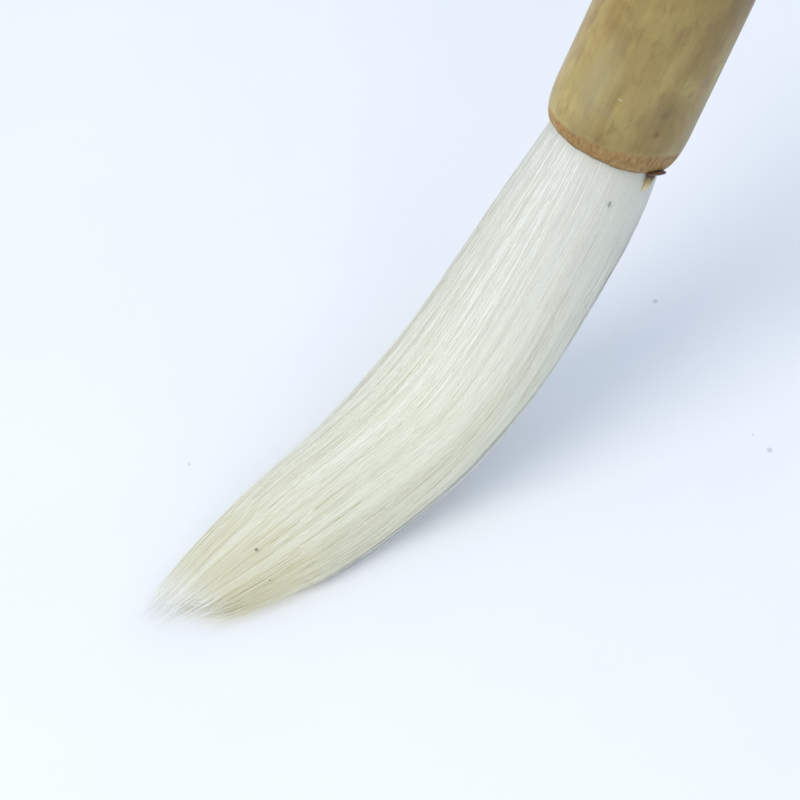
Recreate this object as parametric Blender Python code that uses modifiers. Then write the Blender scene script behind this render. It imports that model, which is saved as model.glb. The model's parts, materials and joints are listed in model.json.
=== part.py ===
"""Calligraphy brush: a bamboo handle with a goat-hair tuft, its tip bent over on a table.

Metres, +Z up. The brush lies in the XZ plane. The origin is on the handle's axis
where a hand holds it. The tuft leaves the mouth of the handle, bends round towards
-X and ends up lying along the table.

Two rigid groups: the handle with everything glued into it, and the free length of
the tuft, which turns about a Y axis through the centre of the handle's mouth.
"""

import math

import bmesh
import bpy
from mathutils import Matrix, Vector

# ---------------------------------------------------------------- dimensions
MM = 0.001

LEAN = math.radians(30.0)  # handle's lean from the vertical, towards +X
GRIP = 80.0 * MM  # from the mouth's centre up the axis to the origin

HANDLE_LENGTH = 200.0 * MM  # bamboo only, without the plug
HANDLE_R = 6.25 * MM  # outside, near the mouth
HANDLE_TAIL_R = 6.05 * MM  # outside, at the tail
NOSE_HEIGHT = 3.6 * MM  # length of the rounding at the mouth
SOCKET_R = 5.15 * MM
SOCKET_DEPTH = 17.2 * MM
BORE_R = 3.60 * MM  # natural hollow of the culm
TAIL_ROUND = 0.45 * MM

PLUG_COLLAR_R = 5.95 * MM
PLUG_COLLAR_HEIGHT = 8.0 * MM
PLUG_ROUND = 1.1 * MM
PLUG_SHANK_R = 3.45 * MM
PLUG_SHANK_LENGTH = 12.0 * MM
CORD_HOLE_R = 1.0 * MM

GLUE_IN_R, GLUE_OUT_R = 4.86 * MM, 5.04 * MM
GLUE_LOW, GLUE_HIGH = 1.0 * MM, 9.3 * MM
ROSIN_LOW, ROSIN_HIGH = 15.2 * MM, 16.7 * MM
ROSIN_R = 4.6 * MM

THREAD_D = 0.44 * MM
THREAD_COIL_R = 4.60 * MM
THREAD_PITCH = 0.60 * MM
THREAD_TURNS = 6
THREAD_LOW = 10.2 * MM

DRIP_ANGLE = math.radians(-85.0)  # round the mouth, from the handle's own +X
DRIP_LENGTH = 2.5 * MM
DRIP_WIDTH = 1.6 * MM
DRIP_DEPTH = 0.75 * MM

ROOT_BALL_R = 7.0 * MM  # the glued roots end inside this ball round the hinge point
FREE_BALL_R = 7.3 * MM  # the free tuft starts outside this one
BUTT_DEPTH = 15.0 * MM  # hair inside the handle

# Free length of the tuft, station by station. From the mouth: distance along the
# tuft, slope of the centreline below the horizontal, side shift along Y, half width
# along Y and half thickness in the plane of the bend.
TUFT_LENGTH = 58.5 * MM
STATIONS = (
    # mm, degrees, mm, mm, mm
    (0.0, 60.0, 0.0, 5.00, 5.00),
    (3.0, 52.0, -0.10, 5.38, 5.30),
    (7.5, 45.0, -0.30, 5.78, 5.38),
    (14.5, 42.5, -0.54, 6.20, 5.17),
    (21.5, 36.0, -0.75, 6.42, 4.66),
    (28.5, 26.0, -0.80, 6.34, 4.10),
    (35.5, 14.0, -0.72, 6.05, 3.67),
    (42.5, 7.0, -0.52, 5.65, 3.25),
    (49.5, 6.2, -0.18, 4.72, 2.55),
    (55.5, 5.8, 0.18, 3.20, 1.60),
    (58.5, 5.5, 0.36, 1.60, 0.80),
)

# Layers of the tuft as shares of its section, outer and inner, and where their tips
# are. Hair is tied and glued as three layers: core, lining and mantle.
LAYERS = {
    "mantle": (1.00, 0.81, TUFT_LENGTH, 53.5 * MM),
    "lining": (0.76, 0.50, 51.0 * MM, 48.0 * MM),
    "core": (0.45, None, 45.5 * MM, None),
}
SIDES = {"mantle": 28, "lining": 24, "core": 20}

COLOURS = {
    "bamboo": ((0.335, 0.245, 0.105), 0.42, 0.0),
    "horn": ((0.030, 0.018, 0.012), 0.25, 0.0),
    "hair": ((0.72, 0.70, 0.62), 0.55, 0.0),
    "hair_lining": ((0.66, 0.62, 0.52), 0.60, 0.0),
    "hair_core": ((0.60, 0.55, 0.43), 0.60, 0.0),
    "glue": ((0.40, 0.22, 0.06), 0.20, 0.0),
    "rosin": ((0.34, 0.13, 0.03), 0.15, 0.0),
    "thread": ((0.55, 0.50, 0.40), 0.80, 0.0),
}

# ---------------------------------------------------------------- scene set-up
for old in list(bpy.data.objects):
    bpy.data.objects.remove(old, do_unlink=True)

brush = bpy.data.collections.new("calligraphy_brush")
cutters = bpy.data.collections.new("cutters")
bpy.context.scene.collection.children.link(brush)
bpy.context.scene.collection.children.link(cutters)


def material(name):
    colour, roughness, metallic = COLOURS[name]
    made = bpy.data.materials.new(name)
    made.use_nodes = True
    shader = made.node_tree.nodes["Principled BSDF"]
    shader.inputs["Base Color"].default_value = (*colour, 1.0)
    shader.inputs["Roughness"].default_value = roughness
    shader.inputs["Metallic"].default_value = metallic
    made.diffuse_color = (*colour, 1.0)
    return made


MATERIALS = {name: material(name) for name in COLOURS}


def empty(name, location, rotation=(0.0, 0.0, 0.0)):
    made = bpy.data.objects.new(name, None)
    made.empty_display_size = 0.01
    made.location = location
    made.rotation_euler = rotation
    brush.objects.link(made)
    return made


axis = Vector((math.sin(LEAN), 0.0, math.cos(LEAN)))  # up the handle
mouth = -GRIP * axis
handle_axis = empty("handle_axis", mouth, (0.0, LEAN, 0.0))
tuft_axis = empty("tuft_bend_axis", mouth)


def add(name, data, parent, colour, collection=brush):
    made = bpy.data.objects.new(name, data)
    collection.objects.link(made)
    made.parent = parent
    if colour:
        data.materials.append(MATERIALS[colour])
    return made


def as_helper(obj):
    obj.hide_render = True
    obj.display_type = "WIRE"
    return obj


def turned(name, profile, steps, colour, ring, parent=handle_axis, collection=brush):
    """A turned piece from (radius, height) points that run down its outer side.
    A ring's profile is a closed loop that comes back up its inner side."""
    data = bpy.data.meshes.new(name)
    bm = bmesh.new()
    points = [bm.verts.new((r, 0.0, z)) for r, z in profile]
    for a, b in zip(points, points[1:]):
        bm.edges.new((a, b))
    if ring:
        bm.edges.new((points[-1], points[0]))
    bm.to_mesh(data)
    bm.free()
    made = add(name, data, parent, colour, collection)
    screw = made.modifiers.new("turn", "SCREW")
    screw.axis = "Z"
    screw.angle = 2 * math.pi
    screw.steps = screw.render_steps = steps
    screw.use_merge_vertices = True
    screw.merge_threshold = 0.00001
    screw.use_smooth_shade = True
    return made


def arc(centre_r, centre_z, width, height, start, end, count):
    """Points on a quarter of an ellipse, angles in degrees from +r."""
    return [
        (
            centre_r + width * math.cos(math.radians(start + (end - start) * i / count)),
            centre_z + height * math.sin(math.radians(start + (end - start) * i / count)),
        )
        for i in range(count + 1)
    ]


# ---------------------------------------------------------------- handle
def handle_profile():
    top = HANDLE_LENGTH
    outside = arc(HANDLE_TAIL_R - TAIL_ROUND, top - TAIL_ROUND, TAIL_ROUND, TAIL_ROUND, 90, 0, 3)
    for share in (0.75, 0.5, 0.25):
        outside.append(
            (HANDLE_R + (HANDLE_TAIL_R - HANDLE_R) * share, top * share)
        )
    lip = SOCKET_R + 0.18 * MM
    nose = arc(lip, NOSE_HEIGHT, HANDLE_R - lip, NOSE_HEIGHT, 0, -90, 7)
    inside = [
        (SOCKET_R, 0.18 * MM),
        (SOCKET_R, SOCKET_DEPTH),
        (BORE_R, SOCKET_DEPTH + 1.2 * MM),
        (BORE_R, top),
    ]
    return outside + nose + inside


turned("bamboo_handle", handle_profile(), 48, "bamboo", True)


def plug_profile():
    low = HANDLE_LENGTH + 0.12 * MM
    high = low + PLUG_COLLAR_HEIGHT
    waist = PLUG_COLLAR_R - 0.25 * MM
    hole = CORD_HOLE_R
    return (
        [(hole + 0.3 * MM, high)]
        + arc(PLUG_COLLAR_R - PLUG_ROUND, high - PLUG_ROUND, PLUG_ROUND, PLUG_ROUND, 90, 0, 5)
        + [
            (PLUG_COLLAR_R, low + 2.6 * MM),
            (waist, low + 2.2 * MM),
            (waist, low + 1.8 * MM),
            (PLUG_COLLAR_R, low + 1.4 * MM),
            (PLUG_COLLAR_R, low),
            (PLUG_SHANK_R, low),
            (PLUG_SHANK_R, low - PLUG_SHANK_LENGTH + 0.5 * MM),
            (PLUG_SHANK_R - 0.4 * MM, low - PLUG_SHANK_LENGTH),
            (hole, low - PLUG_SHANK_LENGTH),
            (hole, high - 0.3 * MM),
        ]
    )


turned("tail_plug", plug_profile(), 40, "horn", True)

turned(
    "socket_glue",
    [
        (GLUE_IN_R, GLUE_HIGH),
        (GLUE_OUT_R, GLUE_HIGH),
        (GLUE_OUT_R, GLUE_LOW),
        (GLUE_IN_R, GLUE_LOW),
    ],
    40,
    "glue",
    True,
)

turned(
    "rosin_seal",
    [(0.0, ROSIN_HIGH - 0.1 * MM)]
    + [(ROSIN_R * 0.7, ROSIN_HIGH - 0.1 * MM)]
    + arc(ROSIN_R - 0.6 * MM, ROSIN_LOW + 0.6 * MM, 0.6 * MM, 0.8 * MM, 90, 0, 3)
    + [(ROSIN_R, ROSIN_LOW), (0.0, ROSIN_LOW)],
    36,
    "rosin",
    False,
)


def thread_coil():
    data = bpy.data.curves.new("binding_thread", "CURVE")
    data.dimensions = "3D"
    data.bevel_depth = THREAD_D / 2
    data.bevel_resolution = 2
    data.use_fill_caps = True
    spline = data.splines.new("POLY")
    per_turn = 14
    count = THREAD_TURNS * per_turn + 1
    spline.points.add(count - 1)
    for i in range(count):
        turn = i / per_turn
        a = 2 * math.pi * turn
        spline.points[i].co = (
            THREAD_COIL_R * math.cos(a),
            THREAD_COIL_R * math.sin(a),
            THREAD_LOW + THREAD_PITCH * turn,
            1.0,
        )
    return add("binding_thread", data, handle_axis, "thread")


thread_coil()


# ---------------------------------------------------------------- tuft
def smooth_between(column, s):
    """Monotone cubic through the stations' values, read at distance s in metres."""
    xs = [row[0] * MM for row in STATIONS]
    ys = [row[column] for row in STATIONS]
    s = min(max(s, xs[0]), xs[-1])
    slopes = [(ys[i + 1] - ys[i]) / (xs[i + 1] - xs[i]) for i in range(len(xs) - 1)]
    tangents = [slopes[0]]
    for a, b in zip(slopes, slopes[1:]):
        tangents.append(0.0 if a * b <= 0 else 2 * a * b / (a + b))
    tangents.append(slopes[-1])
    i = 0
    while i < len(xs) - 2 and s > xs[i + 1]:
        i += 1
    width = xs[i + 1] - xs[i]
    t = (s - xs[i]) / width
    return (
        (2 * t**3 - 3 * t**2 + 1) * ys[i]
        + (t**3 - 2 * t**2 + t) * width * tangents[i]
        + (3 * t**2 - 2 * t**3) * ys[i + 1]
        + (t**3 - t**2) * width * tangents[i + 1]
    )


STEP = 0.5 * MM


def centre_at(s):
    """Centre of the section s along the tuft, from the mouth, and the slope there.
    Inside the handle, where s is negative, it is on the handle's axis."""
    if s <= 0:
        return -s * axis, math.radians(90.0) - LEAN
    x = z = 0.0
    steps = max(1, math.ceil(s / STEP))
    length = s / steps
    for i in range(steps):
        slope = math.radians(smooth_between(1, (i + 0.5) * length))
        x -= math.cos(slope) * length
        z -= math.sin(slope) * length
    slope = math.radians(smooth_between(1, s))
    return Vector((x, smooth_between(2, s) * MM, z)), slope


def section_at(s):
    """Half width along Y and half thickness in the bend's plane, in metres. Inside
    the handle the bundle is squeezed by the glue and, further in, by its thread."""
    if s > 0:
        return smooth_between(3, s) * MM, smooth_between(4, s) * MM
    depth = -s
    thread = (THREAD_LOW - 0.5 * MM, THREAD_LOW + THREAD_PITCH * THREAD_TURNS + 0.5 * MM)
    if depth < GLUE_LOW:
        radius = 5.00 * MM - 0.25 * MM * depth / GLUE_LOW
    elif thread[0] < depth < thread[1]:
        radius = 4.28 * MM
    elif depth >= thread[1]:
        radius = 4.50 * MM
    else:
        radius = 4.74 * MM
    return radius, radius


def ring_at(s, share, sides):
    centre, slope = centre_at(s)
    half_width, half_thick = section_at(s)
    up = Vector((-math.sin(slope), 0.0, math.cos(slope)))
    return [
        centre
        + share * half_thick * math.cos(a) * up
        + share * half_width * math.sin(a) * Vector((0.0, 1.0, 0.0))
        for a in (2 * math.pi * k / sides for k in range(sides))
    ]


def spread(start, end, count):
    return [start + (end - start) * i / count for i in range(count + 1)]


def lofted(name, rings, close_first, close_last, colour, parent):
    """A loft through rings of points. Both ends are closed by a fan, or the last ring
    is joined to the first, which makes a tube with a wall."""
    data = bpy.data.meshes.new(name)
    bm = bmesh.new()
    rows = [[bm.verts.new(p) for p in ring] for ring in rings]
    joined = rows if close_first or close_last else rows + [rows[0]]
    for low, high in zip(joined, joined[1:]):
        n = len(low)
        for k in range(n):
            bm.faces.new((low[k], low[(k + 1) % n], high[(k + 1) % n], high[k]))
    for wanted, row in ((close_first, rows[0]), (close_last, rows[-1])):
        if wanted:
            middle = bm.verts.new(sum((v.co for v in row), Vector()) / len(row))
            for k in range(len(row)):
                bm.faces.new((row[k], row[(k + 1) % len(row)], middle))
    bmesh.ops.recalc_face_normals(bm, faces=bm.faces)
    bm.to_mesh(data)
    bm.free()
    data.shade_smooth()
    return add(name, data, parent, colour)


def boolean(obj, cutter, operation):
    cut = obj.modifiers.new(operation.lower(), "BOOLEAN")
    cut.operation = operation
    cut.solver = "EXACT"
    cut.object = cutter
    return obj


# Everything outside this ball belongs to the free tuft.
ball_data = bpy.data.meshes.new("free_ball")
ball_bm = bmesh.new()
bmesh.ops.create_uvsphere(ball_bm, u_segments=40, v_segments=24, radius=FREE_BALL_R)
ball_bm.to_mesh(ball_data)
ball_bm.free()
free_ball = as_helper(add("free_ball", ball_data, handle_axis, None, cutters))

# Everything inside this bullet, a ball with a cylinder up the handle, is root.
root_bullet = as_helper(
    turned(
        "root_bullet",
        [(0.0, 2 * BUTT_DEPTH), (ROOT_BALL_R, 2 * BUTT_DEPTH)]
        + arc(0.0, 0.0, ROOT_BALL_R, ROOT_BALL_R, 0, -90, 12)[:-1]
        + [(0.0, -ROOT_BALL_R)],
        40,
        None,
        False,
        collection=cutters,
    )
)

ROOT_DEPTHS = (-15.0, -14.35, -14.25, -9.75, -9.65, -1.05, -0.9, 0.0, 1.2, 2.5, 4.5, 7.0, 10.0)
root_stations = [depth * MM for depth in ROOT_DEPTHS]

for layer, (outer, inner, tip, hollow_tip) in LAYERS.items():
    sides = SIDES[layer]
    colour = {"mantle": "hair", "lining": "hair_lining", "core": "hair_core"}[layer]
    free_outer = [
        ring_at(s, outer, sides) for s in spread(1.0 * MM, tip, 18 if inner else 12)
    ]
    if inner:
        rings = free_outer[::-1] + [
            ring_at(s, inner, sides) for s in spread(1.0 * MM, hollow_tip, 15)
        ]
        # from the tip back along the outside, round the open root end and up inside
        free = lofted(f"tuft_{layer}", rings, True, True, colour, tuft_axis)
        root_rings = [ring_at(s, outer, sides) for s in root_stations]
        root_rings += [ring_at(s, inner, sides) for s in root_stations[::-1]]
        root = lofted(f"{layer}_root", root_rings, False, False, colour, tuft_axis)
    else:
        free = lofted(f"tuft_{layer}", free_outer, True, True, colour, tuft_axis)
        root_rings = [ring_at(s, outer, sides) for s in root_stations]
        root = lofted(f"{layer}_root", root_rings, True, True, colour, tuft_axis)
    boolean(free, free_ball, "DIFFERENCE")
    boolean(root, root_bullet, "INTERSECT")


# ---------------------------------------------------------------- glue drip
def drip():
    data = bpy.data.meshes.new("glue_drip")
    bm = bmesh.new()
    bmesh.ops.create_uvsphere(bm, u_segments=14, v_segments=10, radius=0.5)
    for v in bm.verts:
        # pear shape: full under the lip, drawn out to a point on the hair
        t = v.co.z + 0.5
        swell = 0.45 + 0.75 * t
        v.co = Vector(
            (
                v.co.x * DRIP_DEPTH * swell,
                v.co.y * DRIP_WIDTH * swell,
                v.co.z * DRIP_LENGTH,
            )
        )
    bmesh.ops.recalc_face_normals(bm, faces=bm.faces)
    bm.to_mesh(data)
    bm.free()
    data.shade_smooth()
    made = add("glue_drip", data, handle_axis, "glue")
    middle = -0.35 * MM - DRIP_LENGTH / 2
    made.location = Matrix.Rotation(DRIP_ANGLE, 4, "Z") @ Vector((6.0 * MM, 0.0, middle))
    made.rotation_euler = (0.0, 0.0, DRIP_ANGLE)
    return made


drip()
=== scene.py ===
"""Looks of the calligraphy brush: bamboo handle, horn plug, glue, thread and goat hair."""

import json
import math

import bpy
import numpy as np
from mathutils import Matrix, Vector


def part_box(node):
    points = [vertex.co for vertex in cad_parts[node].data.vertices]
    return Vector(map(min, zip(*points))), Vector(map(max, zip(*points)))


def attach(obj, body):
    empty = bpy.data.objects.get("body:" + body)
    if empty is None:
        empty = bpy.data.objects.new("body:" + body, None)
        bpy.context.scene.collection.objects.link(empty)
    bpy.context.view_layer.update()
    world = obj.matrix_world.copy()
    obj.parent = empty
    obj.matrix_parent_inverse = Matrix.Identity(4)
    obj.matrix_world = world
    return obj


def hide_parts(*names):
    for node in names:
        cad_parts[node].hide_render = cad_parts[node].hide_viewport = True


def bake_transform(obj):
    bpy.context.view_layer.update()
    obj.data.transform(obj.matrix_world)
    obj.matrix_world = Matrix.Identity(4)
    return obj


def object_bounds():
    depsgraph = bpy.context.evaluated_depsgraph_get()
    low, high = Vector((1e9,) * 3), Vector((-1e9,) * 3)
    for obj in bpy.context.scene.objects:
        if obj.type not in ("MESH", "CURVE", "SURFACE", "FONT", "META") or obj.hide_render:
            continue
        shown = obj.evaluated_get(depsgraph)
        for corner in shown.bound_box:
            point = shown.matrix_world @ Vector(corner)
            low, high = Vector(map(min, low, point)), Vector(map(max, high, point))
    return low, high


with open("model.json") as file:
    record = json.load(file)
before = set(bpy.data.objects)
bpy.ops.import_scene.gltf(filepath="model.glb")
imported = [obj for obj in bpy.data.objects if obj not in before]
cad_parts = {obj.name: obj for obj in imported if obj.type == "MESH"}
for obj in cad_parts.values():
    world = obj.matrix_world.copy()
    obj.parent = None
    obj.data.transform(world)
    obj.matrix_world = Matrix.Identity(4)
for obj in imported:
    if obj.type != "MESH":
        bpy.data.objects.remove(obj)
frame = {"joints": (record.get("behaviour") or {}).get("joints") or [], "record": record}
cad_low, cad_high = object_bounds()

MM = 0.001
rng = np.random.default_rng(20731)

# ------------------------------------------------------------------ the frame
joint = frame["joints"][0]
MOUTH = np.array(joint["pos_m"], float)
grip = next(m for m in frame["record"]["mounts"] if m["name"] == "grip")
AXIS = np.array(grip["axis"], float)  # up the handle
LEAN = math.atan2(AXIS[0], AXIS[2])
FLOOR_Z = cad_low.z
HANDLE = Matrix.Translation(Vector(MOUTH)) @ Matrix.Rotation(LEAN, 4, "Y")
SIDE = np.array([0.0, 1.0, 0.0])
ACROSS = np.cross(SIDE, AXIS)  # the handle's own +X

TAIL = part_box("tail_plug")[1]

# The tuft, station by station: distance from the mouth, slope below the horizontal,
# side shift, half width along Y, half thickness in the plane of the bend.
STATIONS = np.array(
    [
        (0.0, 60.0, 0.0, 4.98, 4.98),
        (3.0, 52.0, -0.10, 5.34, 5.26),
        (7.5, 45.0, -0.30, 5.76, 5.36),
        (14.5, 42.5, -0.54, 6.18, 5.16),
        (21.5, 36.0, -0.75, 6.42, 4.66),
        (28.5, 26.0, -0.80, 6.34, 4.10),
        (35.5, 14.0, -0.72, 6.05, 3.67),
        (42.5, 7.0, -0.52, 5.65, 3.20),
        (49.5, 6.2, -0.18, 4.72, 2.40),
        (55.5, 5.4, 0.18, 3.25, 1.30),
        (59.0, 3.0, 0.40, 2.35, 0.62),
        (62.0, 1.0, 0.60, 1.80, 0.30),
    ]
)


def monotone(xs, ys, x):
    """Monotone cubic through (xs, ys), read at the points x."""
    d = np.diff(ys) / np.diff(xs)
    same = d[:-1] * d[1:] > 0
    total = d[:-1] + d[1:]
    inner = np.where(same, 2 * d[:-1] * d[1:] / np.where(same, total, 1.0), 0.0)
    m = np.concatenate([d[:1], inner, d[-1:]])
    i = np.clip(np.searchsorted(xs, x, side="right") - 1, 0, len(xs) - 2)
    w = xs[i + 1] - xs[i]
    t = (np.clip(x, xs[0], xs[-1]) - xs[i]) / w
    return (
        (2 * t**3 - 3 * t**2 + 1) * ys[i]
        + (t**3 - 2 * t**2 + t) * w * m[i]
        + (3 * t**2 - 2 * t**3) * ys[i + 1]
        + (t**3 - t**2) * w * m[i + 1]
    )


GRID = np.linspace(0.0, 62.0, 1241)
_slope = np.radians(monotone(STATIONS[:, 0], STATIONS[:, 1], GRID))
_step = GRID[1] - GRID[0]
_mid = (_slope[1:] + _slope[:-1]) / 2
_x = np.concatenate([[0.0], np.cumsum(-np.cos(_mid) * _step)])
_z = np.concatenate([[0.0], np.cumsum(-np.sin(_mid) * _step)])
_y = monotone(STATIONS[:, 0], STATIONS[:, 2], GRID)
_b = monotone(STATIONS[:, 0], STATIONS[:, 3], GRID)
_a = monotone(STATIONS[:, 0], STATIONS[:, 4], GRID)


def centre_and_up(s):
    """Centres (mm, from the mouth) and the up direction across the tuft at distances s."""
    s = np.asarray(s, float)
    c = np.stack([np.interp(s, GRID, v) for v in (_x, _y, _z)], -1)
    slope = np.interp(s, GRID, _slope)
    inside = np.minimum(s, 0.0)
    c = c - inside[..., None] * AXIS
    up = np.stack([-np.sin(slope), 0 * slope, np.cos(slope)], -1)
    return c, up


def half_sizes(s):
    s = np.asarray(s, float)
    b, a = np.interp(s, GRID, _b), np.interp(s, GRID, _a)
    depth = np.clip(-s, 0, None)
    squeeze = 0.26 * np.clip(depth / 1.0, 0, 1) + 0.46 * np.clip((depth - 9.4) / 0.5, 0, 1)
    return b - squeeze, a - squeeze


# Ridges and furrows of the tuft's surface: sines of whole-number frequency round the
# tuft whose phases drift slowly along it, in mm of height.
_n = np.array([5, 7, 9, 12, 15, 19, 23, 28, 34, 41, 52, 63])
_amp = np.array([0.07, 0.06, 0.055, 0.05, 0.042, 0.034, 0.028, 0.022, 0.018, 0.014, 0.010, 0.008])
_phase = rng.uniform(0, 2 * math.pi, len(_n))
_drift = rng.normal(0, 1.3, len(_n))


def ridge(phi, s):
    t = np.asarray(s, float) / 58.0
    h = 0.0
    for n, amp, phase, drift in zip(_n, _amp, _phase, _drift):
        h = h + amp * np.sin(n * phi + phase + drift * 2.2 * t)
    rise = np.clip((np.asarray(s, float) + 0.5) / 9.0, 0.0, 1.0)
    return h * (0.25 + 0.75 * rise) * np.clip((64.0 - s) / 20.0, 0.15, 1.0) * (s > -1.0)


def settle(s):
    """How far the widest line of the section sinks towards the table, in mm: the hair
    that rests on the table lies flat on it and keeps its crown."""
    s = np.asarray(s, float)
    w = np.clip((s - 26.0) / 16.0, 0, 1)
    _, a = half_sizes(s)
    return 0.50 * a * w * w * (3 - 2 * w)


def tuft_point(phi, s, out=0.0, share=1.0):
    """Points (mm, from the mouth) on the tuft's surface, pushed out by `out` mm, and
    the outward direction there."""
    c, up = centre_and_up(s)
    b, a = half_sizes(s)
    cos, sin = np.cos(phi), np.sin(phi)
    d = settle(s)
    c = c - d[..., None] * up + 0.41 * d[..., None] * SIDE
    a = a + d * np.tanh(3.0 * cos)
    b = b - 0.03 * d
    normal = (cos / np.maximum(a, 0.05))[..., None] * up + (
        sin / np.maximum(b, 0.05)
    )[..., None] * SIDE
    normal /= np.linalg.norm(normal, axis=-1, keepdims=True)
    p = c + (share * a * cos)[..., None] * up + (share * b * sin)[..., None] * SIDE
    return p + np.asarray(out)[..., None] * normal, normal


# ------------------------------------------------------------------ mesh helpers
def mesh_object(name, verts, faces, smooth=True, local=False):
    """A mesh piece. verts in metres in the row frame, or in the handle's own frame."""
    data = bpy.data.meshes.new(name)
    verts = np.asarray(verts, np.float32)
    faces = [np.asarray(f, np.int32) for f in faces if len(f)]
    sizes = np.concatenate([np.full(len(f), f.shape[1], np.int32) for f in faces])
    loops = np.concatenate([f.ravel() for f in faces])
    data.vertices.add(len(verts))
    data.vertices.foreach_set("co", verts.ravel())
    data.loops.add(len(loops))
    data.loops.foreach_set("vertex_index", loops)
    data.polygons.add(len(sizes))
    starts = np.concatenate([[0], np.cumsum(sizes)[:-1]]).astype(np.int32)
    data.polygons.foreach_set("loop_start", starts)
    data.update(calc_edges=True)
    data.validate()
    if smooth:
        data.shade_smooth()
    obj = bpy.data.objects.new(name, data)
    bpy.context.scene.collection.objects.link(obj)
    if local:
        obj.matrix_world = HANDLE
    return obj


def point_attribute(obj, name, values, kind="FLOAT"):
    layer = obj.data.attributes.new(name, kind, "POINT")
    values = np.asarray(values, np.float32)
    layer.data.foreach_set("value" if kind == "FLOAT" else "vector", values.ravel())


def loop_uv(obj, name, per_loop):
    layer = obj.data.uv_layers.new(name=name)
    layer.data.foreach_set("uv", np.asarray(per_loop, np.float32).ravel())


def lathe(name, profile, steps, wobble=None):
    """A closed ring of revolution from a closed (r, z) profile in mm that runs down
    its outer side. Points at r 0 end it on the axis. wobble(angle, r, z) gives r."""
    profile = np.asarray(profile, float)
    angles = np.linspace(0, 2 * math.pi, steps, endpoint=False)
    ring = profile[:, 0][:, None] * np.ones(steps)[None]
    z = profile[:, 1][:, None] * np.ones(steps)[None]
    if wobble is not None:
        ring, z = wobble(angles[None] + 0 * ring, ring, z)
    verts = np.stack([ring * np.cos(angles), ring * np.sin(angles), z], -1)
    rows = len(profile)
    index = np.arange(rows * steps).reshape(rows, steps)
    a = index
    b = np.roll(index, -1, axis=0)
    quads = np.stack(
        [a, b, np.roll(b, -1, axis=1), np.roll(a, -1, axis=1)], -1
    ).reshape(-1, 4)
    return mesh_object(name, verts.reshape(-1, 3) * MM, [quads[:, ::-1]], local=True)


def tubes(paths, radii, normals, sides=3, flat=1.0, rounded=None):
    """Closed tubes along (n, k, 3) paths, flattened along their normals. Returns verts
    (n, k, sides, 3), quads, caps and the direction out of the tube at each vertex."""
    n, k, _ = paths.shape
    tangent = np.gradient(paths, axis=1)
    tangent /= np.maximum(np.linalg.norm(tangent, axis=-1, keepdims=True), 1e-12)
    u = normals - (normals * tangent).sum(-1, keepdims=True) * tangent
    u /= np.maximum(np.linalg.norm(u, axis=-1, keepdims=True), 1e-12)
    v = np.cross(tangent, u)
    ang = 2 * math.pi * np.arange(sides) / sides
    cos, sin = np.cos(ang)[None, None, :, None], np.sin(ang)[None, None, :, None]
    across = flat * cos * u[:, :, None] + sin * v[:, :, None]
    verts = paths[:, :, None] + radii[:, :, None, None] * across
    outward = u[:, :, None] + 0.62 * sin * v[:, :, None] + 0 * verts
    if rounded is not None:
        w = rounded[:, :, None, None]
        outward = (1 - w) * outward + w * (cos * u[:, :, None] + sin * v[:, :, None])
    outward /= np.linalg.norm(outward, axis=-1, keepdims=True)
    index = np.arange(n * k * sides).reshape(n, k, sides)
    a, b = index[:, :-1], index[:, 1:]
    quads = np.stack(
        [a, np.roll(a, -1, axis=2), np.roll(b, -1, axis=2), b], -1
    ).reshape(-1, 4)
    caps = np.concatenate([index[:, 0, ::-1], index[:, -1]])
    return verts, quads, caps, outward


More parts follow.
